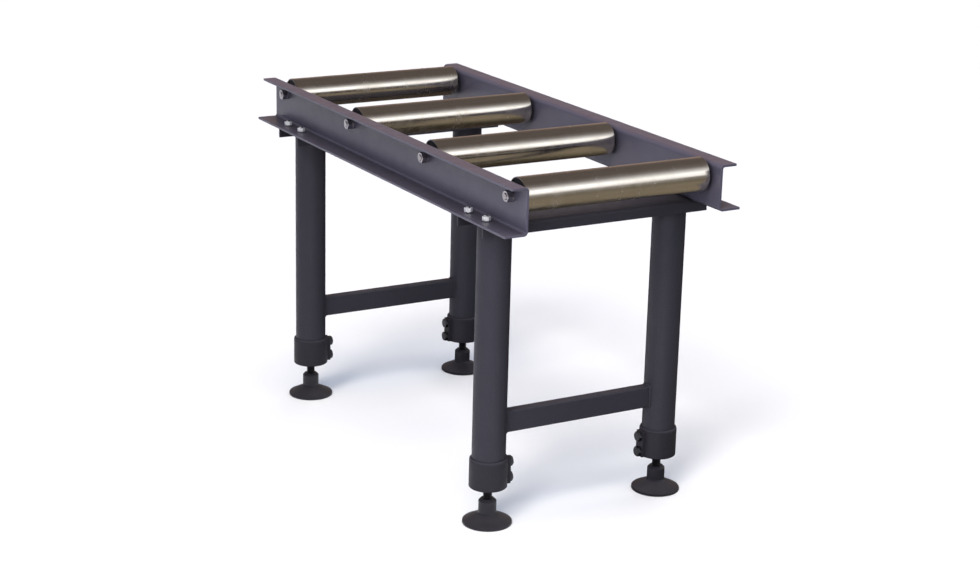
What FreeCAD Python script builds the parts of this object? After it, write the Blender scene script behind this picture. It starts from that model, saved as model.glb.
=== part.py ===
import FreeCAD, Part
import math
import os

from FreeCAD import Placement, Rotation, Vector

# Roller table: two channel rails carry free-turning rollers and stand on two welded leg frames.
# X runs along the rails, Y along the rollers, Z up from the floor; the origin is on the floor, in the middle.
# All sizes are in millimetres.

# Rails: bent sheet channels, flanges outwards, measured from the outer face of the web
rail_length = 1000.0
rail_height = 82.0
rail_sheet = 4.0
rail_top_flange = 28.0
rail_bottom_flange = 40.0
rail_inside_bend = 4.0
rail_clear_width = 380.0

# Roller tubes
roller_count = 4
roller_end_setback = 50.0
roller_diameter = 60.0
roller_wall = 2.5
roller_end_gap = 7.5
roller_rise = 5.0
roller_edge_round = 1.0

# Bearings and the end caps that hold them
bearing_diameter = 40.0
bearing_width = 12.0
cap_lip = 3.0
cap_recess = 2.0
cap_axle_room = 1.5
cap_dish_depth = 1.5
cap_dish_margin = 2.5

# Axles, shouldered between the webs, with threaded ends and nuts outside
axle_diameter = 17.0
axle_thread = 12.0
axle_thread_show = 1.5
axle_end_chamfer = 1.2
axle_nut_across = 18.0
axle_nut_height = 10.0
axle_washer_diameter = 20.0
axle_washer_thickness = 2.0

# Leg frames: round legs under a downward channel, with a box crossbar lower down
leg_setback = 130.0
leg_diameter = 60.0
leg_wall = 3.0
leg_length = 483.0
leg_bolt_room = 4.0
crosspiece_width = 90.0
crosspiece_depth = 21.0
crosspiece_sheet = 4.0
crosspiece_inside_bend = 2.0
crosspiece_inset = 8.0
crossbar_height = 40.0
crossbar_depth = 20.0
crossbar_wall = 2.0
crossbar_corner = 3.0
crossbar_above_collar = 46.0

# Bolts that hold the rails down on the leg frames
frame_bolt_edge = 22.0
frame_bolt_diameter = 8.0
frame_bolt_across = 13.0
frame_bolt_head = 5.3
frame_bolt_show = 3.0
frame_bolt_chamfer = 1.0
frame_nut_height = 6.5
frame_washer_diameter = 16.0
frame_washer_thickness = 1.6

# Clamp collars at the foot of each leg, with their screws
collar_height = 51.0
collar_wall = 4.0
collar_chamfer = 1.0
clamp_bar_width = 20.0
clamp_bar_proud = 6.0
clamp_bar_end_margin = 1.5
clamp_screw_diameter = 10.0
clamp_screw_across = 17.0
clamp_screw_head = 6.4
clamp_screw_edge = 9.5
clamp_screw_chamfer = 1.0

# Inner legs that slide out for height, and their levelling feet
inner_leg_wall = 2.5
inner_leg_hold = 49.0
leg_travel = 300.0
plug_height = 20.0
stud_diameter = 16.0
stud_show = 23.0
stud_spare = 5.0
stud_chamfer = 1.5
foot_travel = 30.0
foot_height = 46.0
foot_pad_diameter = 88.0
foot_rim_height = 5.0
foot_dome_rise = 14.0
foot_hub_diameter = 32.0
foot_hub_shoulder = 4.0
foot_hub_lip = 4.0
foot_socket_depth = 24.0
foot_edge_round = 2.0
foot_hub_round = 4.0

# Clearances
seat_gap = 0.02
bearing_gap = 0.05
turning_gap = 0.1
sliding_gap = 0.3
bolt_hole_room = 0.5
bolt_head_room = 0.5

# A hexagon's chamfer starts just inside its flats and falls at this angle.
hex_chamfer_inset = 0.97
hex_chamfer_angle = math.radians(30.0)

# Heights up from the floor
leg_bottom = foot_height + stud_show
leg_top = leg_bottom + leg_length
rail_bottom = leg_top + crosspiece_sheet
rail_top = rail_bottom + rail_height
roller_axis = rail_top + roller_rise - roller_diameter / 2
collar_top = leg_bottom + collar_height
crossbar_bottom = collar_top + crossbar_above_collar
clamp_bar_length = collar_height - 2 * clamp_bar_end_margin
clamp_bar_bottom = leg_bottom + clamp_bar_end_margin
clamp_screw_heights = {
    "lower": clamp_bar_bottom + clamp_screw_edge,
    "upper": clamp_bar_bottom + clamp_bar_length - clamp_screw_edge,
}

# Distances out from the middle, across the table
web_inside = rail_clear_width / 2
web_outside = web_inside + rail_sheet
rail_edge = web_outside + rail_bottom_flange
bolt_line = rail_edge - frame_bolt_edge
leg_across = bolt_line - leg_bolt_room - leg_diameter / 2
crosspiece_end = rail_edge - crosspiece_inset
roller_half_length = web_inside - roller_end_gap

# Distances along the table
leg_along = rail_length / 2 - leg_setback
bolt_head_corner = frame_bolt_across / 2 / math.cos(math.pi / 6)
bolt_half_spacing = (
    crosspiece_width / 2 - crosspiece_sheet - crosspiece_inside_bend - bolt_head_corner - bolt_head_room
)
roller_pitch = (rail_length - 2 * roller_end_setback) / (roller_count - 1)
roller_places = [(index - (roller_count - 1) / 2) * roller_pitch for index in range(roller_count)]

# Radii out from a leg's axis
leg_inner_radius = leg_diameter / 2 - leg_wall
inner_leg_radius = leg_inner_radius - sliding_gap
plug_radius = inner_leg_radius - inner_leg_wall - seat_gap
collar_radius = leg_diameter / 2 + collar_wall
clamp_bar_face = collar_radius + clamp_bar_proud
inner_leg_length = leg_travel + collar_height + inner_leg_hold
stud_length = foot_socket_depth + stud_show + plug_height + foot_travel + stud_spare

ends = {"front": 1, "rear": -1}
sides = {"left": -1, "right": 1}
up = Vector(0, 0, 1)


def placed(shape, position, axis=up):
    # A piece modelled along +Z, turned to point along the axis and moved to its place.
    piece = shape.copy()
    piece.Placement = Placement(position, Rotation(up, axis))
    return piece


def rounded_face(corners):
    # Flat face inside a closed outline of straight runs, each corner rounded to its own radius.
    runs = []
    for index, (corner, radius) in enumerate(corners):
        if radius == 0:
            runs.append((corner, None, corner))
            continue
        before = (corners[index - 1][0] - corner).normalize()
        after = (corners[(index + 1) % len(corners)][0] - corner).normalize()
        half_angle = before.getAngle(after) / 2
        inward = (before + after).normalize()
        trim = radius / math.tan(half_angle)
        middle = corner + inward * (radius / math.sin(half_angle) - radius)
        runs.append((corner + before * trim, middle, corner + after * trim))
    edges = []
    for index, (start, middle, end) in enumerate(runs):
        if middle:
            edges.append(Part.Arc(start, middle, end).toShape())
        edges.append(Part.LineSegment(end, runs[(index + 1) % len(runs)][0]).toShape())
    return Part.Face(Part.Wire(edges))


def turned(outline):
    # Round piece from the (radius, height, rounding) corners of its half section.
    face = rounded_face([(Vector(radius, 0, height), rounding) for radius, height, rounding in outline])
    return face.revolve(Vector(0, 0, 0), up, 360)


def ring(outer_radius, inner_radius, height):
    return Part.makeCylinder(outer_radius, height).cut(Part.makeCylinder(inner_radius, height))


def rod(radius, length, chamfer, both_ends=False):
    # Round bar standing on the origin, its far end chamfered, or both ends.
    foot = chamfer if both_ends else 0
    outline = [(0, 0, 0), (radius - foot, 0, 0)]
    if both_ends:
        outline.append((radius, foot, 0))
    outline += [(radius, length - chamfer, 0), (radius - chamfer, length, 0), (0, length, 0)]
    return turned(outline)


def hexagon(across_flats, height, chamfer_foot=True):
    # Hexagon block standing on the origin, its corners turned off at the top and, for a nut, at the foot.
    corner_radius = across_flats / 2 / math.cos(math.pi / 6)
    points = [
        Vector(corner_radius * math.cos(turn), corner_radius * math.sin(turn), 0)
        for turn in [math.pi / 3 * step for step in range(7)]
    ]
    block = Part.Face(Part.makePolygon(points)).extrude(up * height)
    inset_radius = across_flats / 2 * hex_chamfer_inset
    fall = (corner_radius - inset_radius) * math.tan(hex_chamfer_angle)
    outline = [(0, 0, 0)]
    outline += [(inset_radius, 0, 0), (corner_radius, fall, 0)] if chamfer_foot else [(corner_radius, 0, 0)]
    outline += [(corner_radius, height - fall, 0), (inset_radius, height, 0), (0, height, 0)]
    return block.common(turned(outline))


def nut(across_flats, height, thread):
    return hexagon(across_flats, height).cut(Part.makeCylinder(thread / 2 + seat_gap, height))


def hole(radius, position, axis, length):
    return placed(Part.makeCylinder(radius, length), position, axis)


def save(node, *solids):
    shape = solids[0] if len(solids) == 1 else Part.makeCompound(list(solids))
    shape.exportStep("parts/" + node + ".step")


def make_rail(side):
    # Section drawn out from the web's inner face, then holed for the axles and the frame bolts.
    outside_bend = rail_inside_bend + rail_sheet
    section = [
        (web_inside, rail_bottom, outside_bend),
        (rail_edge, rail_bottom, 0),
        (rail_edge, rail_bottom + rail_sheet, 0),
        (web_outside, rail_bottom + rail_sheet, rail_inside_bend),
        (web_outside, rail_top - rail_sheet, rail_inside_bend),
        (web_outside + rail_top_flange, rail_top - rail_sheet, 0),
        (web_outside + rail_top_flange, rail_top, 0),
        (web_inside, rail_top, outside_bend),
    ]
    start = -rail_length / 2
    face = rounded_face([(Vector(start, side * across, height), bend) for across, height, bend in section])
    rail = face.extrude(Vector(rail_length, 0, 0))
    holes = [
        hole(axle_thread / 2 + bolt_hole_room, Vector(place, side * web_inside, roller_axis),
             Vector(0, side, 0), rail_sheet)
        for place in roller_places
    ]
    holes += [
        hole(frame_bolt_diameter / 2 + bolt_hole_room, Vector(along, side * bolt_line, rail_bottom), up, rail_sheet)
        for along in bolt_places()
    ]
    return rail.cut(holes)


def bolt_places(end=None):
    # Two bolts beside each leg, on every rail end or on one end alone.
    chosen = ends.values() if end is None else [end]
    return [one * leg_along + step * bolt_half_spacing for one in chosen for step in (-1, 1)]


def make_roller_tube(place):
    outline = [
        (roller_diameter / 2 - roller_wall, -roller_half_length, 0),
        (roller_diameter / 2, -roller_half_length, roller_edge_round),
        (roller_diameter / 2, roller_half_length, roller_edge_round),
        (roller_diameter / 2 - roller_wall, roller_half_length, 0),
    ]
    return placed(turned(outline), Vector(place, 0, roller_axis), Vector(0, 1, 0))


def make_end_cap(place, side):
    # Plug pressed into the tube, dished outside, with a pocket inside for the bearing.
    outer = roller_diameter / 2 - roller_wall - seat_gap
    pocket = bearing_diameter / 2 + seat_gap
    bore = axle_diameter / 2 + cap_axle_room
    length = cap_lip + bearing_width
    outline = [
        (bore, cap_dish_depth, 0),
        (pocket - cap_dish_margin, cap_dish_depth, 0),
        (pocket, 0, 0),
        (outer, 0, 0),
        (outer, length, 0),
        (pocket, length, 0),
        (pocket, cap_lip, 0),
        (bore, cap_lip, 0),
    ]
    face_at = roller_half_length - cap_recess
    return placed(turned(outline), Vector(place, side * face_at, roller_axis), Vector(0, -side, 0))


def make_bearing(place, side):
    inner_face = roller_half_length - cap_recess - cap_lip
    body = ring(bearing_diameter / 2, axle_diameter / 2 + bearing_gap, bearing_width)
    return placed(body, Vector(place, side * inner_face, roller_axis), Vector(0, -side, 0))


def make_axle(place):
    reach = rail_sheet + axle_washer_thickness + axle_nut_height + axle_thread_show
    thread = axle_thread / 2
    outline = [
        (0, -web_inside - reach, 0),
        (thread - axle_end_chamfer, -web_inside - reach, 0),
        (thread, -web_inside - reach + axle_end_chamfer, 0),
        (thread, -web_inside, 0),
        (axle_diameter / 2, -web_inside, 0),
        (axle_diameter / 2, web_inside, 0),
        (thread, web_inside, 0),
        (thread, web_inside + reach - axle_end_chamfer, 0),
        (thread - axle_end_chamfer, web_inside + reach, 0),
        (0, web_inside + reach, 0),
    ]
    return placed(turned(outline), Vector(place, 0, roller_axis), Vector(0, 1, 0))


def make_axle_washer(place, side):
    body = ring(axle_washer_diameter / 2, axle_thread / 2 + bolt_hole_room, axle_washer_thickness)
    return placed(body, Vector(place, side * web_outside, roller_axis), Vector(0, side, 0))


def make_axle_nut(place, side):
    body = nut(axle_nut_across, axle_nut_height, axle_thread)
    seat = side * (web_outside + axle_washer_thickness)
    return placed(body, Vector(place, seat, roller_axis), Vector(0, side, 0))


def make_top_crosspiece(end):
    # Channel with its flanges down, lying under both rails and closing the tops of the legs.
    half = crosspiece_width / 2
    outside_bend = crosspiece_inside_bend + crosspiece_sheet
    section = [
        (-half, leg_top + crosspiece_sheet, outside_bend),
        (half, leg_top + crosspiece_sheet, outside_bend),
        (half, leg_top + crosspiece_sheet - crosspiece_depth, 0),
        (half - crosspiece_sheet, leg_top + crosspiece_sheet - crosspiece_depth, 0),
        (half - crosspiece_sheet, leg_top, crosspiece_inside_bend),
        (crosspiece_sheet - half, leg_top, crosspiece_inside_bend),
        (crosspiece_sheet - half, leg_top + crosspiece_sheet - crosspiece_depth, 0),
        (-half, leg_top + crosspiece_sheet - crosspiece_depth, 0),
    ]
    middle = end * leg_along
    face = rounded_face([(Vector(middle + along, -crosspiece_end, height), bend) for along, height, bend in section])
    channel = face.extrude(Vector(0, 2 * crosspiece_end, 0))
    holes = [
        hole(frame_bolt_diameter / 2 + bolt_hole_room, Vector(along, side * bolt_line, leg_top), up, crosspiece_sheet)
        for along in bolt_places(end)
        for side in sides.values()
    ]
    return channel.cut(holes)


def make_lower_crossbar(end):
    # Box tube between the two legs of a frame, its ends shaped to the round legs.
    middle = Vector(end * leg_along, 0, crossbar_bottom + crossbar_height / 2)

    def box_face(inset, corner):
        wide = crossbar_depth / 2 - inset
        tall = crossbar_height / 2 - inset
        points = [(-wide, -tall), (wide, -tall), (wide, tall), (-wide, tall)]
        return rounded_face([(middle + Vector(along, -leg_across, height), corner) for along, height in points])

    run = Vector(0, 2 * leg_across, 0)
    outer = box_face(0, crossbar_corner).extrude(run)
    inner = box_face(crossbar_wall, crossbar_corner - crossbar_wall).extrude(run)
    legs = [
        hole(leg_diameter / 2 + seat_gap, Vector(middle.x, side * leg_across, leg_bottom), up, leg_length)
        for side in sides.values()
    ]
    return outer.cut([inner] + legs)


def clamp_holes(axis_point, inward):
    # Holes for the two clamp screws, from the leg's axis out through leg, collar and bar.
    return [
        hole(clamp_screw_diameter / 2 + turning_gap, Vector(axis_point.x, axis_point.y, height), inward, clamp_bar_face)
        for height in clamp_screw_heights.values()
    ]


def make_leg_tube(axis_point, inward):
    tube = placed(ring(leg_diameter / 2, leg_inner_radius, leg_length), axis_point + up * leg_bottom)
    return tube.cut(clamp_holes(axis_point, inward))


def make_collar(axis_point, inward):
    # Sleeve round the end of the leg with a thick vertical bar on its inner side for the screws.
    bore = leg_diameter / 2 + seat_gap
    sleeve = turned([
        (bore, 0, 0),
        (collar_radius - collar_chamfer, 0, 0),
        (collar_radius, collar_chamfer, 0),
        (collar_radius, collar_height - collar_chamfer, 0),
        (collar_radius - collar_chamfer, collar_height, 0),
        (bore, collar_height, 0),
    ])
    bar = Part.makeBox(clamp_bar_width, clamp_bar_face, clamp_bar_length)
    bar.translate(Vector(-clamp_bar_width / 2, 0, clamp_bar_end_margin))
    bar = bar.cut(Part.makeCylinder(bore, collar_height))
    body = sleeve.fuse(bar).removeSplitter()
    quarter = Rotation(Vector(0, 1, 0), inward)
    body.Placement = Placement(axis_point + up * leg_bottom, quarter)
    return body.cut(clamp_holes(axis_point, inward))


def make_clamp_screw(axis_point, inward, height):
    # Hexagon screw whose tip stops just short of the inner leg.
    tip = inner_leg_radius + sliding_gap
    seat = clamp_bar_face + turning_gap
    head = placed(hexagon(clamp_screw_across, clamp_screw_head, chamfer_foot=False), up * (seat - tip))
    shank = Part.makeCylinder(clamp_screw_diameter / 2, seat - tip)
    shank = shank.cut(ring_chamfer(clamp_screw_diameter / 2, clamp_screw_chamfer))
    return placed(head.fuse(shank), axis_point + up * height + inward * tip, inward)


def ring_chamfer(radius, chamfer):
    # Wedge of a ring that turns the sharp edge off the foot of a round bar.
    return turned([(radius - chamfer, 0, 0), (radius + chamfer, 0, 0), (radius + chamfer, chamfer * 2, 0)])


def make_inner_leg(axis_point):
    tube = ring(inner_leg_radius, inner_leg_radius - inner_leg_wall, inner_leg_length)
    return placed(tube, axis_point + up * leg_bottom)


def make_leg_plug(axis_point):
    body = ring(plug_radius, stud_diameter / 2 + turning_gap, plug_height)
    return placed(body, axis_point + up * leg_bottom)


def make_foot_stud(axis_point):
    start = foot_height - foot_socket_depth + sliding_gap
    body = rod(stud_diameter / 2, stud_length, stud_chamfer, both_ends=True)
    return placed(body, axis_point + up * start)


def make_foot_pad(axis_point):
    # Round pad rising to a hub, whose top narrows to a lip round the stud.
    pad_radius = foot_pad_diameter / 2
    hub_radius = foot_hub_diameter / 2
    socket_radius = stud_diameter / 2 + turning_gap
    socket_floor = foot_height - foot_socket_depth
    body = turned([
        (0, 0, 0),
        (pad_radius, 0, foot_edge_round / 2),
        (pad_radius, foot_rim_height, foot_edge_round),
        (hub_radius, foot_rim_height + foot_dome_rise, foot_hub_round),
        (hub_radius, foot_height - foot_hub_shoulder, foot_edge_round),
        (socket_radius + foot_hub_lip, foot_height, 0),
        (socket_radius, foot_height, 0),
        (socket_radius, socket_floor, 0),
        (0, socket_floor, 0),
    ])
    return placed(body, axis_point)


def make_frame_bolt(along, side):
    # Head up inside the crosspiece, shank through crosspiece and rail.
    head = placed(hexagon(frame_bolt_across, frame_bolt_head, chamfer_foot=False), Vector(0, 0, 0), -up)
    grip = crosspiece_sheet + rail_sheet + frame_washer_thickness + frame_nut_height
    shank = rod(frame_bolt_diameter / 2, grip + frame_bolt_show, frame_bolt_chamfer)
    return placed(head.fuse(shank), Vector(along, side * bolt_line, leg_top))


def make_frame_washer(along, side):
    body = ring(frame_washer_diameter / 2, frame_bolt_diameter / 2 + bolt_hole_room, frame_washer_thickness)
    return placed(body, Vector(along, side * bolt_line, rail_bottom + rail_sheet))


def make_frame_nut(along, side):
    body = nut(frame_bolt_across, frame_nut_height, frame_bolt_diameter)
    return placed(body, Vector(along, side * bolt_line, rail_bottom + rail_sheet + frame_washer_thickness))


os.makedirs("parts", exist_ok=True)

for side_name, side in sides.items():
    save(side_name + "_rail", make_rail(side))

for number, place in enumerate(roller_places, start=1):
    roller = "roller_" + str(number)
    save(roller + "_tube", make_roller_tube(place))
    save(roller + "_end_caps", *[make_end_cap(place, side) for side in sides.values()])
    save(roller + "_bearings", *[make_bearing(place, side) for side in sides.values()])
    save(roller + "_axle", make_axle(place))

axle_ends = [(place, side) for place in roller_places for side in sides.values()]
save("axle_washers", *[make_axle_washer(place, side) for place, side in axle_ends])
save("axle_nuts", *[make_axle_nut(place, side) for place, side in axle_ends])

bolt_spots = [(along, side) for along in bolt_places() for side in sides.values()]
save("frame_bolts", *[make_frame_bolt(along, side) for along, side in bolt_spots])
save("frame_washers", *[make_frame_washer(along, side) for along, side in bolt_spots])
save("frame_nuts", *[make_frame_nut(along, side) for along, side in bolt_spots])

for end_name, end in ends.items():
    save(end_name + "_top_crosspiece", make_top_crosspiece(end))
    save(end_name + "_lower_crossbar", make_lower_crossbar(end))
    for side_name, side in sides.items():
        corner = end_name + "_" + side_name
        axis_point = Vector(end * leg_along, side * leg_across, 0)
        inward = Vector(0, -side, 0)
        save(corner + "_leg_tube", make_leg_tube(axis_point, inward))
        save(corner + "_leg_collar", make_collar(axis_point, inward))
        save(corner + "_inner_leg", make_inner_leg(axis_point))
        save(corner + "_leg_plug", make_leg_plug(axis_point))
        save(corner + "_foot_stud", make_foot_stud(axis_point))
        save(corner + "_foot_pad", make_foot_pad(axis_point))
        for level, height in clamp_screw_heights.items():
            save(corner + "_" + level + "_clamp_screw", make_clamp_screw(axis_point, inward, height))
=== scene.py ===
import math

import bmesh
import bpy
from mathutils import Matrix, Vector


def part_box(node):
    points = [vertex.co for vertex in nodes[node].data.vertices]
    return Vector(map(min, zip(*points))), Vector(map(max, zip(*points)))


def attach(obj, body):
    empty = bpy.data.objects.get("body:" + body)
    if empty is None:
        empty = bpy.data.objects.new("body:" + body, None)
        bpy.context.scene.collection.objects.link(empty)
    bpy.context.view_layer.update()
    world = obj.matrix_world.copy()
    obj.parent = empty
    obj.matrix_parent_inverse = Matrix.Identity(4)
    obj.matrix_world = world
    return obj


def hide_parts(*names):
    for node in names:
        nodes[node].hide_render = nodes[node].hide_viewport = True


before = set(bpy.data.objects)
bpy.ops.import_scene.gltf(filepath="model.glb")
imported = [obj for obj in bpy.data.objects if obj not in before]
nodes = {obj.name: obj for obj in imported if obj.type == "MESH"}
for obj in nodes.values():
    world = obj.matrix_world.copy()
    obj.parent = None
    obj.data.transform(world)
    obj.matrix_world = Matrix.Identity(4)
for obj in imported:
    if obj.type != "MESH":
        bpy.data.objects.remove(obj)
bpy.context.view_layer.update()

mm = 0.001
sides = {"left": -1, "right": 1}
corners = [end + "_" + side for end in ("front", "rear") for side in sides]
rollerNumbers = ("1", "2", "3", "4")
print("frame loaded:", len(nodes), "nodes")


# node helpers

def feed(tree, target, value):
    if isinstance(value, bpy.types.NodeSocket):
        tree.links.new(value, target)
    else:
        target.default_value = value


def addNode(tree, kind, inputs=None, **settings):
    node = tree.nodes.new(kind)
    for key, value in settings.items():
        setattr(node, key, value)
    for key, value in (inputs or {}).items():
        feed(tree, node.inputs[key], value)
    return node


def emptyTree(owner):
    owner.use_nodes = True
    owner.node_tree.nodes.clear()
    return owner.node_tree


def maths(tree, operation, first, second, clamp=False):
    values = {0: first, 1: second}
    return addNode(tree, "ShaderNodeMath", values, operation=operation, use_clamp=clamp).outputs[0]


def product(tree, first, second, third):
    return maths(tree, "MULTIPLY", maths(tree, "MULTIPLY", first, second), third, True)


def vectorMaths(tree, operation, inputs):
    return addNode(tree, "ShaderNodeVectorMath", inputs, operation=operation).outputs


def mixColour(tree, factor, first, second):
    values = {0: factor, 6: first, 7: second}
    return addNode(tree, "ShaderNodeMix", values, data_type="RGBA", clamp_factor=True).outputs[2]


def remap(tree, value, span, level=(0.0, 1.0)):  # moves a span of values onto two levels
    values = {0: value, 1: span[0], 2: span[1], 3: level[0], 4: level[1]}
    return addNode(tree, "ShaderNodeMapRange", values, clamp=True).outputs[0]


def noise(tree, vector, look):
    values = {"Vector": vector, "Scale": look["scale"], "Detail": look["detail"], "Roughness": look["rough"]}
    return addNode(tree, "ShaderNodeTexNoise", values).outputs["Fac"]


def cloud(tree, vector, look):  # noise spread between two levels
    return remap(tree, noise(tree, vector, look), look["span"], look["level"])


def gradedBy(tree, value, stops):  # blends from stop to stop as the value rises
    colour = (*stops[0][1], 1)
    for (low, _), (high, shade) in zip(stops, stops[1:]):
        colour = mixColour(tree, remap(tree, value, (low, high)), colour, (*shade, 1))
    return colour


socketKinds = {"float": "NodeSocketFloat", "colour": "NodeSocketColor", "vector": "NodeSocketVector"}


def newGroup(name, inputs, outputs):
    group = bpy.data.node_groups.new(name, "ShaderNodeTree")
    for label, kind, value in inputs:
        socket = group.interface.new_socket(label, in_out="INPUT", socket_type=socketKinds[kind])
        if value is not None:
            socket.default_value = value
    for label, kind in outputs:
        group.interface.new_socket(label, in_out="OUTPUT", socket_type=socketKinds[kind])
    return group, group.nodes.new("NodeGroupInput").outputs, group.nodes.new("NodeGroupOutput").inputs


def placeGroup(tree, group, inputs):
    return addNode(tree, "ShaderNodeGroup", inputs, node_tree=group).outputs


# shared surface effects

edgeSamples = 6
cornerSamples = 6
noiseMiddle = 0.5

paintLook = {
    "drift": {"scale": 7.0, "detail": 4.0, "rough": 0.5},
    "fleck": {"scale": 420.0, "detail": 2.0, "rough": 0.5, "span": (0.35, 0.7), "level": (0.94, 1.06)},
    "sheen": {"scale": 38.0, "detail": 5.0, "rough": 0.6, "span": (0.3, 0.7), "level": (-0.05, 0.06)},
    "peel": {"detail": 2.0, "rough": 0.5}}


def makePaintFilm():  # tone drift, sprayed texture and uneven gloss of a satin coat
    group, given, out = newGroup("paintFilm", [
        ("Coordinates", "vector", None), ("Colour", "colour", (0.1, 0.1, 0.1, 1)), ("Drift", "float", 0.1),
        ("Gloss", "float", 0.4), ("Peel Scale", "float", 900.0)],
        [("Colour", "colour"), ("Roughness", "float"), ("Height", "float")])
    spot = given["Coordinates"]
    drift = maths(group, "SUBTRACT", noise(group, spot, paintLook["drift"]), noiseMiddle)
    shade = addNode(group, "ShaderNodeMath", {0: drift, 1: given["Drift"], 2: 1.0}, operation="MULTIPLY_ADD")
    tone = maths(group, "MULTIPLY", shade.outputs[0], cloud(group, spot, paintLook["fleck"]))
    feed(group, out["Colour"], vectorMaths(group, "SCALE", {0: given["Colour"], "Scale": tone})[0])
    sheen = cloud(group, spot, paintLook["sheen"])
    feed(group, out["Roughness"], maths(group, "ADD", given["Gloss"], sheen))
    peel = {**paintLook["peel"], "scale": given["Peel Scale"]}
    feed(group, out["Height"], noise(group, spot, peel))
    return group


rubLook = {
    "edge": (0.995, 0.86),
    "patch": {"scale": 55.0, "detail": 5.0, "rough": 0.65, "span": (0.42, 0.66), "level": (0.0, 1.0)}}


def makeEdgeRub():  # thin worn line where two faces meet
    group, given, out = newGroup("edgeRub", [
        ("Coordinates", "vector", None), ("Width", "float", 0.0012), ("Amount", "float", 0.5)],
        [("Mask", "float")])
    soft = addNode(group, "ShaderNodeBevel", {"Radius": given["Width"]}, samples=edgeSamples).outputs[0]
    plain = addNode(group, "ShaderNodeNewGeometry").outputs["Normal"]
    match = vectorMaths(group, "DOT_PRODUCT", {0: soft, 1: plain})["Value"]
    edge = remap(group, match, rubLook["edge"])
    patch = cloud(group, given["Coordinates"], rubLook["patch"])
    feed(group, out["Mask"], product(group, edge, patch, given["Amount"]))
    return group


scratchLook = {
    "lines": {"scale": 1.0, "detail": 4.0, "rough": 0.7, "span": (0.58, 0.72), "level": (0.0, 1.0)},
    "where": {"scale": 14.0, "detail": 2.0, "rough": 0.5, "span": (0.4, 0.65), "level": (0.0, 1.0)}}


def makeFineScratch():  # sparse hairline marks along one direction
    group, given, out = newGroup("fineScratch", [
        ("Coordinates", "vector", None), ("Stretch", "vector", (1, 1, 1)), ("Amount", "float", 0.3)],
        [("Mask", "float")])
    drawn = vectorMaths(group, "MULTIPLY", {0: given["Coordinates"], 1: given["Stretch"]})[0]
    lines = cloud(group, drawn, scratchLook["lines"])
    where = cloud(group, given["Coordinates"], scratchLook["where"])
    feed(group, out["Mask"], product(group, lines, where, given["Amount"]))
    return group


# dust on upward faces, and on the rails a painted reflection tint
dustAndReflectionLook = {
    "upward": (0.55, 0.95),
    "patch": {"scale": 22.0, "detail": 5.0, "rough": 0.6, "span": (0.35, 0.7), "level": (0.2, 1.0)}}


def makeDustAndReflectionFilm():  # film on faces that look up: settled dust, and in a warm colour a painted reflection of warm surroundings on the tops
    group, given, out = newGroup("dustAndReflectionFilm", [
        ("Coordinates", "vector", None), ("Amount", "float", 0.1)], [("Mask", "float")])
    normal = addNode(group, "ShaderNodeNewGeometry").outputs["Normal"]
    rise = addNode(group, "ShaderNodeSeparateXYZ", {0: normal}).outputs["Z"]
    upward = remap(group, rise, dustAndReflectionLook["upward"])
    patch = cloud(group, given["Coordinates"], dustAndReflectionLook["patch"])
    feed(group, out["Mask"], product(group, upward, patch, given["Amount"]))
    return group


# painted shade: how the darkening from ambient occlusion is spread over corners and recesses
cornerShadeLook = {
    "closed": (0.9, 0.35), "open": (0.74, 0.95),
    "patch": {"scale": 26.0, "detail": 4.0, "rough": 0.6, "span": (0.3, 0.7), "level": (0.8, 1.0)}}


def makePaintedCornerShade():  # painted shade: darkening laid where faces close in on each other, and a mask of the open places
    group, given, out = newGroup("paintedCornerShade", [
        ("Coordinates", "vector", None), ("Reach", "float", 0.1), ("Amount", "float", 0.5)],
        [("Mask", "float"), ("Open", "float")])
    room = addNode(group, "ShaderNodeAmbientOcclusion", {"Distance": given["Reach"]}, samples=cornerSamples)
    clear = room.outputs["AO"]
    closed = remap(group, clear, cornerShadeLook["closed"])
    feed(group, out["Open"], remap(group, clear, cornerShadeLook["open"]))
    patch = cloud(group, given["Coordinates"], cornerShadeLook["patch"])
    feed(group, out["Mask"], product(group, closed, patch, given["Amount"]))
    return group


lathe = {
    "rings": {"scale": 1.0, "detail": 5.0, "rough": 0.7},
    "ringSpan": (0.3, 0.7), "ringGloss": (-0.06, 0.08),
    "stain": {"scale": 16.0, "detail": 5.0, "rough": 0.6},
    "stainSpan": (0.42, 0.75), "stainShare": (0.0, 0.55),
    "cloudSpan": (0.3, 0.7), "cloudGloss": (-0.04, 0.08)}


def makeTurnedMetal():  # rings left by the lathe, with a broad uneven tint
    group, given, out = newGroup("turnedMetal", [
        ("Coordinates", "vector", None), ("Stretch", "vector", (1, 1, 1)),
        ("Colour", "colour", (0.6, 0.6, 0.6, 1)), ("Stain", "colour", (0.4, 0.35, 0.3, 1)),
        ("Gloss", "float", 0.2)],
        [("Colour", "colour"), ("Roughness", "float"), ("Height", "float")])
    drawn = vectorMaths(group, "MULTIPLY", {0: given["Coordinates"], 1: given["Stretch"]})[0]
    rings = noise(group, drawn, lathe["rings"])
    stain = noise(group, given["Coordinates"], lathe["stain"])
    share = remap(group, stain, lathe["stainSpan"], lathe["stainShare"])
    feed(group, out["Colour"], mixColour(group, share, given["Colour"], given["Stain"]))
    spread = maths(group, "ADD", remap(group, rings, lathe["ringSpan"], lathe["ringGloss"]),
                   remap(group, stain, lathe["cloudSpan"], lathe["cloudGloss"]))
    feed(group, out["Roughness"], maths(group, "ADD", given["Gloss"], spread))
    feed(group, out["Height"], rings)
    return group


paintFilm = makePaintFilm()
edgeRub = makeEdgeRub()
fineScratch = makeFineScratch()
dustAndReflectionFilm = makeDustAndReflectionFilm()
paintedCornerShade = makePaintedCornerShade()
turnedMetal = makeTurnedMetal()
print("surface groups made")


# materials

reliefDepth = {"paint": 0.12 * mm, "metal": 0.06 * mm, "plastic": 0.2 * mm}
dulling = {"dustAndReflection": 0.3, "scratch": 0.2}  # roughness that each adds


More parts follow.
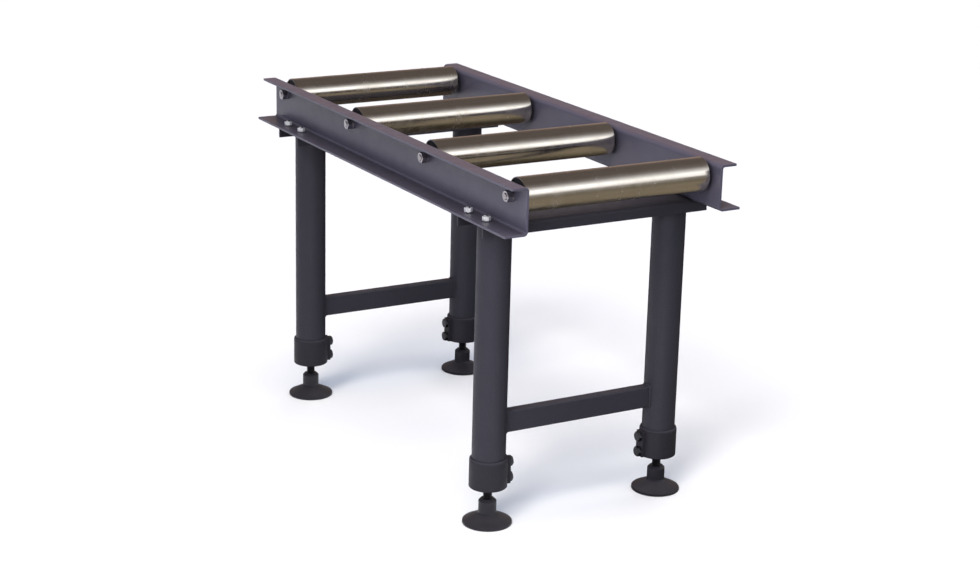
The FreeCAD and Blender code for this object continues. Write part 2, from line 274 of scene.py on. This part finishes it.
def newMaterial(name, settings):
    material = bpy.data.materials.new(name)
    tree = emptyTree(material)
    shader = addNode(tree, "ShaderNodeBsdfPrincipled", settings)
    addNode(tree, "ShaderNodeOutputMaterial", {"Surface": shader.outputs[0]})
    spot = addNode(tree, "ShaderNodeTexCoord").outputs["Object"]
    return material, tree, shader, spot


def roundedBump(tree, shader, height, look, depth):  # surface relief on softly rounded edges
    soft = addNode(tree, "ShaderNodeBevel", {"Radius": look["edge"]}, samples=edgeSamples).outputs[0]
    bump = addNode(tree, "ShaderNodeBump", {
        "Strength": look["relief"], "Distance": depth, "Height": height, "Normal": soft})
    feed(tree, shader.inputs["Normal"], bump.outputs[0])


def dulledBy(tree, roughness, mask, amount):
    return maths(tree, "ADD", roughness, maths(tree, "MULTIPLY", mask, amount))


def paintedSteel(name, look):
    material, tree, shader, spot = newMaterial(name, {"Specular IOR Level": look["shine"], "Metallic": 0.0})
    film = placeGroup(tree, paintFilm, {
        "Coordinates": spot, "Colour": look["colour"], "Drift": look["drift"], "Gloss": look["gloss"]})
    rub = placeGroup(tree, edgeRub, {
        "Coordinates": spot, "Width": look["rubWidth"], "Amount": look["rub"]})["Mask"]
    scratch = placeGroup(tree, fineScratch, {
        "Coordinates": spot, "Stretch": look["scratchRun"], "Amount": look["scratch"]})["Mask"]
    # painted shade, darker in corners, creases and under the flanges
    cornerShade = placeGroup(tree, paintedCornerShade, {"Coordinates": spot, "Amount": look["cornerShade"]})
    upwardDustAndReflection = placeGroup(tree, dustAndReflectionFilm, {"Coordinates": spot, "Amount": look["dustAndReflection"]})["Mask"]
    dustAndReflection = maths(tree, "MULTIPLY", upwardDustAndReflection, cornerShade["Open"])
    colour = mixColour(tree, rub, film["Colour"], look["rubColour"])
    colour = mixColour(tree, scratch, colour, look["scratchColour"])
    colour = mixColour(tree, dustAndReflection, colour, look["dustAndReflectionColour"])
    feed(tree, shader.inputs["Base Color"], mixColour(tree, cornerShade["Mask"], colour, look["cornerShadeColour"]))
    feed(tree, shader.inputs["Roughness"], dulledBy(tree, film["Roughness"], dustAndReflection, dulling["dustAndReflection"]))
    roundedBump(tree, shader, film["Height"], look, reliefDepth["paint"])
    return material


def turnedSteel(name, look):
    material, tree, shader, spot = newMaterial(name, {"Metallic": look["metal"], "Anisotropic": look["pull"]})
    metal = placeGroup(tree, turnedMetal, {
        "Coordinates": spot, "Stretch": look["rings"], "Colour": look["colour"], "Stain": look["stain"],
        "Gloss": look["gloss"]})
    scratch = placeGroup(tree, fineScratch, {
        "Coordinates": spot, "Stretch": look["scratchRun"], "Amount": look["scratch"]})["Mask"]
    feed(tree, shader.inputs["Base Color"], mixColour(tree, scratch, metal["Colour"], look["scratchColour"]))
    feed(tree, shader.inputs["Roughness"], dulledBy(tree, metal["Roughness"], scratch, dulling["scratch"]))
    roundedBump(tree, shader, metal["Height"], look, reliefDepth["metal"])
    return material


def mouldedPlastic(name, look):
    material, tree, shader, spot = newMaterial(name, {"Specular IOR Level": look["shine"]})
    film = placeGroup(tree, paintFilm, {
        "Coordinates": spot, "Colour": look["colour"], "Drift": look["drift"], "Gloss": look["gloss"],
        "Peel Scale": look["grain"]})
    rub = placeGroup(tree, edgeRub, {
        "Coordinates": spot, "Width": look["rubWidth"], "Amount": look["rub"]})["Mask"]
    dustAndReflection = placeGroup(tree, dustAndReflectionFilm, {"Coordinates": spot, "Amount": look["dustAndReflection"]})["Mask"]
    colour = mixColour(tree, rub, film["Colour"], look["rubColour"])
    feed(tree, shader.inputs["Base Color"], mixColour(tree, dustAndReflection, colour, look["dustAndReflectionColour"]))
    feed(tree, shader.inputs["Roughness"], film["Roughness"])
    roundedBump(tree, shader, film["Height"], look, reliefDepth["plastic"])
    return material


railPaint = paintedSteel("railPaint", {
    "colour": (0.107, 0.098, 0.139, 1), "drift": 0.16, "gloss": 0.34, "shine": 0.4,
    "relief": 0.10, "edge": 0.8 * mm,
    "rub": 0.35, "rubWidth": 1.6 * mm, "rubColour": (0.17, 0.165, 0.19, 1),
    "scratch": 0.16, "scratchRun": (14.0, 420.0, 420.0), "scratchColour": (0.16, 0.155, 0.18, 1),
    # the red-brown on the rails' upward faces is partly dust, partly a painted reflection of warm
    # surroundings
    "dustAndReflection": 0.34, "dustAndReflectionColour": (0.160, 0.080, 0.066, 1),
    # painted shade colour for corners and recesses
    "cornerShade": 0.85, "cornerShadeColour": (0.022, 0.019, 0.024, 1)})
legPaint = paintedSteel("legPaint", {
    "colour": (0.046, 0.043, 0.055, 1), "drift": 0.16, "gloss": 0.46, "shine": 0.2,
    "relief": 0.10, "edge": 0.8 * mm,
    "rub": 0.35, "rubWidth": 1.6 * mm, "rubColour": (0.15, 0.145, 0.165, 1),
    "scratch": 0.14, "scratchRun": (380.0, 380.0, 12.0), "scratchColour": (0.13, 0.125, 0.145, 1),
    "dustAndReflection": 0.06, "dustAndReflectionColour": (0.24, 0.20, 0.19, 1),
    # painted shade colour for corners and recesses
    "cornerShade": 0.6, "cornerShadeColour": (0.012, 0.010, 0.012, 1)})
collarPaint = paintedSteel("collarPaint", {
    "colour": (0.031, 0.029, 0.036, 1), "drift": 0.18, "gloss": 0.48, "shine": 0.2,
    "relief": 0.12, "edge": 0.8 * mm,
    "rub": 0.4, "rubWidth": 1.6 * mm, "rubColour": (0.10, 0.095, 0.105, 1),
    "scratch": 0.16, "scratchRun": (380.0, 380.0, 12.0), "scratchColour": (0.10, 0.095, 0.105, 1),
    "dustAndReflection": 0.06, "dustAndReflectionColour": (0.24, 0.20, 0.19, 1),
    # painted shade colour for corners and recesses
    "cornerShade": 0.6, "cornerShadeColour": (0.012, 0.010, 0.012, 1)})
rollerSteel = turnedSteel("rollerSteel", {
    "colour": (0.68, 0.63, 0.56, 1), "stain": (0.56, 0.50, 0.42, 1), "gloss": 0.17, "pull": 0.0, "metal": 1.0,
    "rings": (9.0, 60.0, 9.0), "relief": 0.10, "edge": 0.6 * mm,
    "scratch": 0.04, "scratchRun": (14.0, 380.0, 14.0), "scratchColour": (0.40, 0.35, 0.29, 1)})
zincBright = turnedSteel("zincBright", {
    "colour": (0.86, 0.86, 0.89, 1), "stain": (0.70, 0.68, 0.64, 1), "gloss": 0.26, "pull": 0.0,
    "metal": 0.35, "rings": (160.0, 160.0, 160.0), "relief": 0.12, "edge": 0.4 * mm,
    "scratch": 0.3, "scratchRun": (300.0, 80.0, 300.0), "scratchColour": (0.5, 0.5, 0.5, 1)})
zincDull = turnedSteel("zincDull", {
    "colour": (0.52, 0.50, 0.54, 1), "stain": (0.30, 0.26, 0.26, 1), "gloss": 0.30, "pull": 0.0, "metal": 1.0,
    "rings": (160.0, 160.0, 160.0), "relief": 0.16, "edge": 0.5 * mm,
    "scratch": 0.35, "scratchRun": (300.0, 80.0, 300.0), "scratchColour": (0.14, 0.12, 0.12, 1)})
axleSteel = turnedSteel("axleSteel", {
    "colour": (0.44, 0.42, 0.43, 1), "stain": (0.26, 0.23, 0.22, 1), "gloss": 0.32, "pull": 0.2, "metal": 1.0,
    "rings": (4.0, 700.0, 4.0), "relief": 0.1, "edge": 0.4 * mm,
    "scratch": 0.4, "scratchRun": (10.0, 400.0, 10.0), "scratchColour": (0.28, 0.26, 0.24, 1)})
bearingSteel = turnedSteel("bearingSteel", {
    "colour": (0.66, 0.66, 0.67, 1), "stain": (0.5, 0.48, 0.45, 1), "gloss": 0.2, "pull": 0.2, "metal": 1.0,
    "rings": (4.0, 900.0, 4.0), "relief": 0.06, "edge": 0.3 * mm,
    "scratch": 0.3, "scratchRun": (300.0, 300.0, 300.0), "scratchColour": (0.4, 0.39, 0.37, 1)})
drawnTube = turnedSteel("drawnTube", {
    "colour": (0.46, 0.46, 0.47, 1), "stain": (0.30, 0.28, 0.26, 1), "gloss": 0.30, "pull": 0.3, "metal": 1.0,
    "rings": (520.0, 520.0, 3.0), "relief": 0.12, "edge": 0.6 * mm,
    "scratch": 0.5, "scratchRun": (420.0, 420.0, 8.0), "scratchColour": (0.24, 0.23, 0.22, 1)})
blackSteel = turnedSteel("blackSteel", {
    "colour": (0.050, 0.049, 0.055, 1), "stain": (0.032, 0.030, 0.031, 1), "gloss": 0.36, "pull": 0.0,
    "metal": 1.0, "rings": (200.0, 200.0, 200.0), "relief": 0.15, "edge": 0.5 * mm,
    "scratch": 0.35, "scratchRun": (260.0, 90.0, 260.0), "scratchColour": (0.14, 0.14, 0.15, 1)})
boltSteel = turnedSteel("boltSteel", {
    "colour": (0.70, 0.71, 0.73, 1), "stain": (0.52, 0.50, 0.46, 1), "gloss": 0.30, "pull": 0.0, "metal": 1.0,
    "rings": (160.0, 160.0, 160.0), "relief": 0.15, "edge": 0.4 * mm,
    "scratch": 0.3, "scratchRun": (300.0, 300.0, 80.0), "scratchColour": (0.18, 0.18, 0.18, 1)})
capBlack = mouldedPlastic("capBlack", {
    "colour": (0.022, 0.022, 0.024, 1), "drift": 0.2, "gloss": 0.48, "shine": 0.4,
    "grain": 1500.0, "relief": 0.15, "edge": 0.6 * mm,
    "rub": 0.3, "rubWidth": 2 * mm, "rubColour": (0.06, 0.06, 0.062, 1),
    "dustAndReflection": 0.1, "dustAndReflectionColour": (0.2, 0.2, 0.2, 1)})
footPlastic = mouldedPlastic("footPlastic", {
    "colour": (0.020, 0.018, 0.024, 1), "drift": 0.22, "gloss": 0.46, "shine": 0.4,
    "grain": 1100.0, "relief": 0.25, "edge": 1.2 * mm,
    "rub": 0.4, "rubWidth": 2 * mm, "rubColour": (0.09, 0.088, 0.095, 1),
    "dustAndReflection": 0.1, "dustAndReflectionColour": (0.26, 0.25, 0.245, 1)})

# painted shade: the bolt heads up inside the channels are darkened to a paint-like colour where the channel
# shades them
boltHeadShade = {"colour": (0.040, 0.037, 0.045, 1), "channelWall": 4 * mm, "blur": 0.5 * mm}


def shadeBelow(material, darkening, height):  # painted shade: dark under the height, bare metal above it
    tree = material.node_tree
    shader = next(node for node in tree.nodes if node.type == "BSDF_PRINCIPLED")
    spot = next(node for node in tree.nodes if node.type == "TEX_COORD").outputs["Object"]
    rise = addNode(tree, "ShaderNodeSeparateXYZ", {0: spot}).outputs["Z"]
    darkened = remap(tree, rise, (height + darkening["blur"], height - darkening["blur"]))
    bare = shader.inputs["Base Color"].links[0].from_socket
    feed(tree, shader.inputs["Base Color"], mixColour(tree, darkened, bare, darkening["colour"]))
    feed(tree, shader.inputs["Metallic"], maths(tree, "SUBTRACT", 1.0, darkened))


shadeBelow(boltSteel, boltHeadShade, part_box("front_top_crosspiece")[1].z - boltHeadShade["channelWall"])
print("materials made")


def dress(node, material):
    mesh = nodes[node].data
    mesh.materials.clear()
    mesh.materials.append(material)


finishes = {  # by the end of the node's name, the first that fits
    "_rail": railPaint, "_top_crosspiece": legPaint, "_lower_crossbar": legPaint, "_leg_tube": legPaint,
    "_leg_collar": collarPaint, "_inner_leg": drawnTube, "_leg_plug": blackSteel, "_foot_stud": blackSteel,
    "_foot_pad": footPlastic, "_clamp_screw": blackSteel, "_tube": rollerSteel, "_end_caps": capBlack,
    "_bearings": bearingSteel, "_axle": axleSteel, "axle_washers": zincDull, "axle_nuts": zincDull,
    "frame_washers": zincDull, "frame_nuts": zincBright, "_bolts": boltSteel}
for node in nodes:
    dress(node, next(material for tail, material in finishes.items() if node.endswith(tail)))
print("solids dressed")


# mesh helpers

smoothLimit = math.radians(38)


def newPiece(name, builder, material):
    mesh = bpy.data.meshes.new(name)
    builder.to_mesh(mesh)
    builder.free()
    mesh.materials.append(material)
    piece = bpy.data.objects.new(name, mesh)
    bpy.context.scene.collection.objects.link(piece)
    return piece


def finishMesh(name, builder, material, body, replaced=()):
    bmesh.ops.recalc_face_normals(builder, faces=builder.faces)
    piece = newPiece(name, builder, material)
    piece.data.shade_smooth()
    piece.data.set_sharp_from_angle(angle=smoothLimit)
    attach(piece, body)
    if replaced:
        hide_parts(*replaced)


def loftRings(builder, rings, place):  # skins closed rings of points, with flat caps at both ends
    rows = [[builder.verts.new(place @ point) for point in ring] for ring in rings]
    for lower, upper in zip(rows, rows[1:]):
        for index in range(len(lower)):
            after = (index + 1) % len(lower)
            builder.faces.new((lower[index], lower[after], upper[after], upper[index]))
    builder.faces.new(list(reversed(rows[0])))
    builder.faces.new(rows[-1])


def circle(radius, height, count):
    turns = [2 * math.pi * step / count for step in range(count)]
    return [Vector((radius * math.cos(turn), radius * math.sin(turn), height)) for turn in turns]


ridge = {"flank": 1.25, "crest": 0.12}  # steepness of a thread's flanks and the flat left on its crest


def threadRings(radius, start, end, thread):  # right-hand ridge wound up a rod, run out at its tip chamfers
    rowCount = math.ceil((end - start) / thread["pitch"] * thread["rowsPerTurn"])
    rings = []
    for row in range(rowCount + 1):
        height = start + (end - start) * row / rowCount
        tip = min(height - start, end - height)
        slope = max(0.0, thread["chamfer"] - tip)
        ring = []
        for step in range(thread["segments"]):
            share = step / thread["segments"]
            phase = (height / thread["pitch"] - share) % 1.0
            dip = 1.0 - abs(2.0 * phase - 1.0)
            cut = thread["depth"] * min(1.0, max(0.0, dip * ridge["flank"] - ridge["crest"]))
            reach = radius - max(cut, slope)
            turn = 2 * math.pi * share
            ring.append(Vector((reach * math.cos(turn), reach * math.sin(turn), height)))
        rings.append(ring)
    return rings


def pointing(position, axis):  # turns +Z onto the axis and moves to the position
    turn = Vector((0, 0, 1)).rotation_difference(Vector(axis))
    return Matrix.Translation(position) @ turn.to_matrix().to_4x4()


def sweepBead(builder, path, bead):  # closed weld run along the path, rippled by each drop of the weld
    count = len(path)
    middle = sum(path, Vector()) / count
    turns = [2 * math.pi * step / bead["segments"] for step in range(bead["segments"])]
    travelled = 0.0
    rings = []
    for index, point in enumerate(path):
        ahead = path[(index + 1) % count]
        along = (ahead - path[index - 1]).normalized()
        outward = point - middle
        outward = (outward - along * outward.dot(along)).normalized()
        across = along.cross(outward)
        ripple = 1.0 - bead["ripple"] * abs(math.sin(math.pi * travelled / bead["drop"]))
        sway = 1.0 + bead["sway"] * math.sin(travelled / bead["swayRun"])
        reach = bead["radius"] * ripple * sway
        rings.append([builder.verts.new(point + (outward * math.cos(turn) + across * math.sin(turn)) * reach)
                      for turn in turns])
        travelled += (ahead - point).length
    for index, ring in enumerate(rings):
        following = rings[(index + 1) % count]
        for step in range(bead["segments"]):
            after = (step + 1) % bead["segments"]
            builder.faces.new((ring[step], ring[after], following[after], following[step]))


def centre(node):
    low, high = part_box(node)
    return (low + high) / 2


# levelling studs with a real thread

stud = {"pitch": 2 * mm, "depth": 1.15 * mm, "chamfer": 1.5 * mm, "segments": 36, "rowsPerTurn": 5}
for corner in corners:
    low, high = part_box(corner + "_foot_stud")
    middle = (low + high) / 2
    builder = bmesh.new()
    rings = threadRings((high.x - low.x) / 2, low.z - middle.z, high.z - middle.z, stud)
    loftRings(builder, rings, Matrix.Translation(middle))
    finishMesh("threadedStud_" + corner, builder, blackSteel, corner + "_stud",
               [corner + "_foot_stud"])
print("studs threaded")


# axles: plain between the rails, threaded where the nuts sit

axle = {"thread": 6 * mm, "pitch": 1.75 * mm, "depth": 0.95 * mm, "chamfer": 1.2 * mm, "segments": 36,
        "rowsPerTurn": 5, "shoulderChamfer": 0.6 * mm}
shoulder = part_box("right_rail")[0].y
for number in rollerNumbers:
    node = "roller_" + number + "_axle"
    low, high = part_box(node)
    middle = (low + high) / 2
    radius = (high.x - low.x) / 2
    trimmed = radius - axle["shoulderChamfer"]
    rings = threadRings(axle["thread"], low.y, -shoulder, axle)
    for reach, place in ((trimmed, -shoulder), (radius, axle["shoulderChamfer"] - shoulder),
                         (radius, shoulder - axle["shoulderChamfer"]), (trimmed, shoulder)):
        rings.append(circle(reach, place, axle["segments"]))
    rings += threadRings(axle["thread"], shoulder, high.y, axle)
    builder = bmesh.new()
    loftRings(builder, rings, pointing((middle.x, 0, middle.z), (0, 1, 0)))
    finishMesh("threadedAxle_" + number, builder, axleSteel, "frame", [node])
print("axles threaded")


# weld runs of the leg frames

weld = {"radius": 2.8 * mm, "ripple": 0.16, "drop": 3.2 * mm, "sway": 0.07, "swayRun": 5 * mm, "segments": 10,
        "step": 0.7 * mm, "cornerRound": 3 * mm, "cornerSteps": 8,
        "offLeg": 1 / 3, "aboveCollar": 1 / 4, "belowTop": 1 / 3}  # the last three are shares of the radius


def roundPath(middle, radius, height):
    count = round(2 * math.pi * radius / weld["step"])
    return [Vector((middle.x, middle.y, height)) + point for point in circle(radius, 0.0, count)]


def barEndPath(bar, leg, legRadius, side):  # round the box tube where it meets the round leg
    low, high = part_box(bar)
    halfWidth = (high.x - low.x) / 2 - weld["cornerRound"]
    halfHeight = (high.z - low.z) / 2 - weld["cornerRound"]
    outline = []
    for quarter, (first, second) in enumerate(((1, 1), (-1, 1), (-1, -1), (1, -1))):
        for step in range(weld["cornerSteps"] + 1):
            turn = math.pi / 2 * (quarter + step / weld["cornerSteps"])
            outline.append((first * halfWidth + weld["cornerRound"] * math.cos(turn),
                            second * halfHeight + weld["cornerRound"] * math.sin(turn)))
    path = []
    for (across, rise), (nextAcross, nextRise) in zip(outline, outline[1:] + outline[:1]):
        length = math.hypot(nextAcross - across, nextRise - rise)
        pieces = max(1, round(length / weld["step"]))
        for step in range(pieces):
            share = step / pieces
            x = across + (nextAcross - across) * share
            z = rise + (nextRise - rise) * share
            gap = math.sqrt(legRadius ** 2 - x ** 2)
            path.append(Vector((leg.x + x, leg.y - side * gap, (low.z + high.z) / 2 + z)))
    return path


builder = bmesh.new()
for corner in corners:
    endName, sideName = corner.split("_")
    leg = centre(corner + "_leg_tube")
    low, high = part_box(corner + "_leg_tube")
    legRadius = (high.x - low.x) / 2
    ringRadius = legRadius + weld["radius"] * weld["offLeg"]
    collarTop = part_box(corner + "_leg_collar")[1].z
    sweepBead(builder, roundPath(leg, ringRadius, collarTop + weld["radius"] * weld["aboveCollar"]), weld)
    sweepBead(builder, roundPath(leg, ringRadius, high.z - weld["radius"] * weld["belowTop"]), weld)
    sweepBead(builder, barEndPath(endName + "_lower_crossbar", leg, legRadius, sides[sideName]), weld)
finishMesh("frameWelds", builder, legPaint, "frame")
print("weld runs laid")


# floor, surround and air

def stagePiece(name, builder, material):
    piece = newPiece(name, builder, material)
    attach(piece, "front_left_foot")  # goes down with the feet when the legs are drawn out
    return piece


floor = {"half": 30.0, "paper": (0.93, 0.93, 0.93, 1), "worn": (0.92, 0.92, 0.925, 1), "rough": 0.9,
         "bounce": (0.06, 0.06, 0.065, 1), "glow": 0.01, "glowColour": (1, 1, 1, 1),
         "wear": {"scale": 0.6, "detail": 2.0, "rough": 0.5, "span": (0.3, 0.7), "level": (0.0, 1.0)}}
floorPaper, tree, shader, spot = newMaterial("floorPaper", {
    "Roughness": floor["rough"], "Specular IOR Level": 0.0, "Emission Color": floor["glowColour"]})
rays = addNode(tree, "ShaderNodeLightPath").outputs
seen = maths(tree, "MAXIMUM", rays["Is Camera Ray"], rays["Is Glossy Ray"])
seen = maths(tree, "MAXIMUM", seen, rays["Is Transmission Ray"])
paper = mixColour(tree, cloud(tree, spot, floor["wear"]), floor["paper"], floor["worn"])
feed(tree, shader.inputs["Base Color"], mixColour(tree, seen, floor["bounce"], paper))
feed(tree, shader.inputs["Emission Strength"], maths(tree, "MULTIPLY", seen, floor["glow"]))
builder = bmesh.new()
bmesh.ops.create_grid(builder, x_segments=2, y_segments=2, size=floor["half"])
stagePiece("studioFloor", builder, floorPaper)

# surround on the right that only shiny faces mirror
# towards the front: brown ground, a soft white window low down, brown above
surround = {
    "radius": 7.0, "lift": 2 * mm, "start": 80 * mm, "rings": 9, "segments": 32, "eye": (0, 0, 0.61),
    "front": [(-0.88, (0.055, 0.045, 0.030)), (-0.82, (0.13, 0.115, 0.08)), (-0.74, (0.21, 0.18, 0.13)),
              (-0.62, (0.28, 0.235, 0.175)), (-0.40, (0.25, 0.215, 0.16)), (-0.16, (0.18, 0.16, 0.13)),
              (0.00, (0.38, 0.37, 0.35)), (0.16, (1.55, 1.58, 1.66)), (0.38, (1.80, 1.85, 1.95)),
              (0.54, (0.80, 0.82, 0.86)), (0.68, (0.26, 0.24, 0.24)), (0.84, (0.128, 0.108, 0.101))],
    "rear": [(-0.80, (0.045, 0.036, 0.028)), (-0.30, (0.07, 0.055, 0.045)), (0.00, (0.24, 0.18, 0.15)),
             (0.12, (0.40, 0.29, 0.24)), (0.36, (0.27, 0.205, 0.175)), (0.58, (0.128, 0.108, 0.101))],
    "rearToFront": (-0.15, 0.35),
    "uneven": {"scale": 0.9, "detail": 3.0, "rough": 0.5, "span": (0.3, 0.7), "level": (0.8, 1.2)}}
warmScreen = bpy.data.materials.new("warmScreen")
tree = emptyTree(warmScreen)
spot = addNode(tree, "ShaderNodeTexCoord").outputs["Object"]
ray = vectorMaths(tree, "SUBTRACT", {0: spot, 1: surround["eye"]})[0]
ray = vectorMaths(tree, "NORMALIZE", {0: ray})[0]
along, _, rise = addNode(tree, "ShaderNodeSeparateXYZ", {0: ray}).outputs
ahead = gradedBy(tree, rise, surround["front"])
behind = gradedBy(tree, rise, surround["rear"])
tint = mixColour(tree, remap(tree, along, surround["rearToFront"]), behind, ahead)
uneven = cloud(tree, spot, surround["uneven"])
glow = addNode(tree, "ShaderNodeEmission", {"Color": tint, "Strength": uneven}).outputs[0]
addNode(tree, "ShaderNodeOutputMaterial", {"Surface": glow})

builder = bmesh.new()
shift = Vector((0, surround["start"], surround["lift"]))
arcs = []
for step in range(surround["rings"]):
    turn = math.pi / 2 * step / surround["rings"]
    radius = surround["radius"] * math.cos(turn)
    height = surround["radius"] * math.sin(turn)
    halfRing = circle(radius, height, 2 * surround["segments"])[:surround["segments"] + 1]
    arcs.append([builder.verts.new(point + shift) for point in halfRing])
for lower, upper in zip(arcs, arcs[1:]):
    for index in range(surround["segments"]):
        builder.faces.new((lower[index], lower[index + 1], upper[index + 1], upper[index]))
builder.faces.new(arcs[0])
builder.faces.new(arcs[-1])
screen = stagePiece("sideScreen", builder, warmScreen)
screen.visible_camera = False
screen.visible_diffuse = False
screen.visible_transmission = False
screen.visible_shadow = False

# air: cool soft light, white to the camera, and a graded grey where it is mirrored
air = {"light": (0.224, 0.304, 0.462, 1), "seen": (1, 1, 1, 1), "strength": 1.0,
       "mirrored": [(0.00, (0.26, 0.27, 0.32)), (0.25, (0.34, 0.33, 0.34)), (0.55, (0.16, 0.14, 0.13)),
                    (0.90, (0.09, 0.078, 0.072))]}
world = bpy.data.worlds.new("studioAir")
bpy.context.scene.world = world
tree = emptyTree(world)
rays = addNode(tree, "ShaderNodeLightPath").outputs
straight = maths(tree, "MAXIMUM", rays["Is Camera Ray"], rays["Is Transmission Ray"])
ray = addNode(tree, "ShaderNodeTexCoord").outputs["Generated"]
rise = addNode(tree, "ShaderNodeSeparateXYZ", {0: ray}).outputs["Z"]
tint = mixColour(tree, rays["Is Glossy Ray"], air["light"], gradedBy(tree, rise, air["mirrored"]))
tint = mixColour(tree, straight, tint, air["seen"])
sky = addNode(tree, "ShaderNodeBackground", {"Color": tint, "Strength": air["strength"]}).outputs[0]
addNode(tree, "ShaderNodeOutputWorld", {"Surface": sky})
print("floor, surround and air made")


# lamps

suns = {
    "overheadSun": {
        "towards": (0.13, -0.08, 1.0), "strength": 1.3, "colour": (1.2, 1.02, 0.78), "angle": 38},
    "frontLeftSun": {
        "towards": (0.55, -0.83, 1.15), "strength": 1.15, "colour": (1.05, 1.0, 0.95), "angle": 18},
    "rearFillSun": {
        "towards": (-0.6, 0.8, 0.5), "strength": 0.6, "colour": (1.0, 1.0, 1.05), "angle": 40}}
softbox = {"towards": (1.30, -1.00, 0.55), "strength": 16.0, "colour": (1.0, 1.0, 1.0), "size": 0.8,
           "place": (1.50, -1.20, 0.90)}


def addLamp(name, kind, look):
    data = bpy.data.lights.new(name, kind)
    data.energy = look["strength"]
    data.color = look["colour"]
    lamp = bpy.data.objects.new(name, data)
    bpy.context.scene.collection.objects.link(lamp)
    lamp.rotation_mode = "QUATERNION"
    lamp.rotation_quaternion = Vector(look["towards"]).normalized().to_track_quat("Z", "Y")
    lamp.visible_glossy = False  # shiny faces mirror the surround
    return lamp


for name, look in suns.items():
    addLamp(name, "SUN", look).data.angle = math.radians(look["angle"])
nearLamp = addLamp("nearSoftbox", "AREA", softbox)
nearLamp.data.size = softbox["size"]
nearLamp.location = softbox["place"]
nearLamp.visible_camera = False
print("lamps set")


# camera at the photograph's viewing angle

camera = {"azimuth": 60.058, "elevation": 17.003, "roll": 1.486, "distance": 3.832203, "sensor": 36.0,
          "target": Vector((0.051202, 0.0, 0.308387)), "focalPixels": 2028.184, "frameWidth": 980}
azimuth, elevation, roll = (math.radians(camera[key]) for key in ("azimuth", "elevation", "roll"))
reach = math.cos(elevation)
back = Vector((math.sin(azimuth) * reach, -math.cos(azimuth) * reach, math.sin(elevation)))
right = (-back).cross(Vector((0, 0, 1))).normalized()
upright = right.cross(-back)
tiltedRight = right * math.cos(roll) + upright * math.sin(roll)
tiltedUp = upright * math.cos(roll) - right * math.sin(roll)
cameraData = bpy.data.cameras.new("photoCamera")
cameraData.sensor_width = camera["sensor"]
cameraData.lens = camera["sensor"] * camera["focalPixels"] / camera["frameWidth"]
photoCamera = bpy.data.objects.new("photoCamera", cameraData)
bpy.context.scene.collection.objects.link(photoCamera)
turn = Matrix((tiltedRight, tiltedUp, back)).transposed().to_4x4()
photoCamera.matrix_world = Matrix.Translation(camera["target"] + back * camera["distance"]) @ turn
bpy.context.scene.camera = photoCamera
bpy.context.scene.view_settings.view_transform = "Standard"
print("camera set")
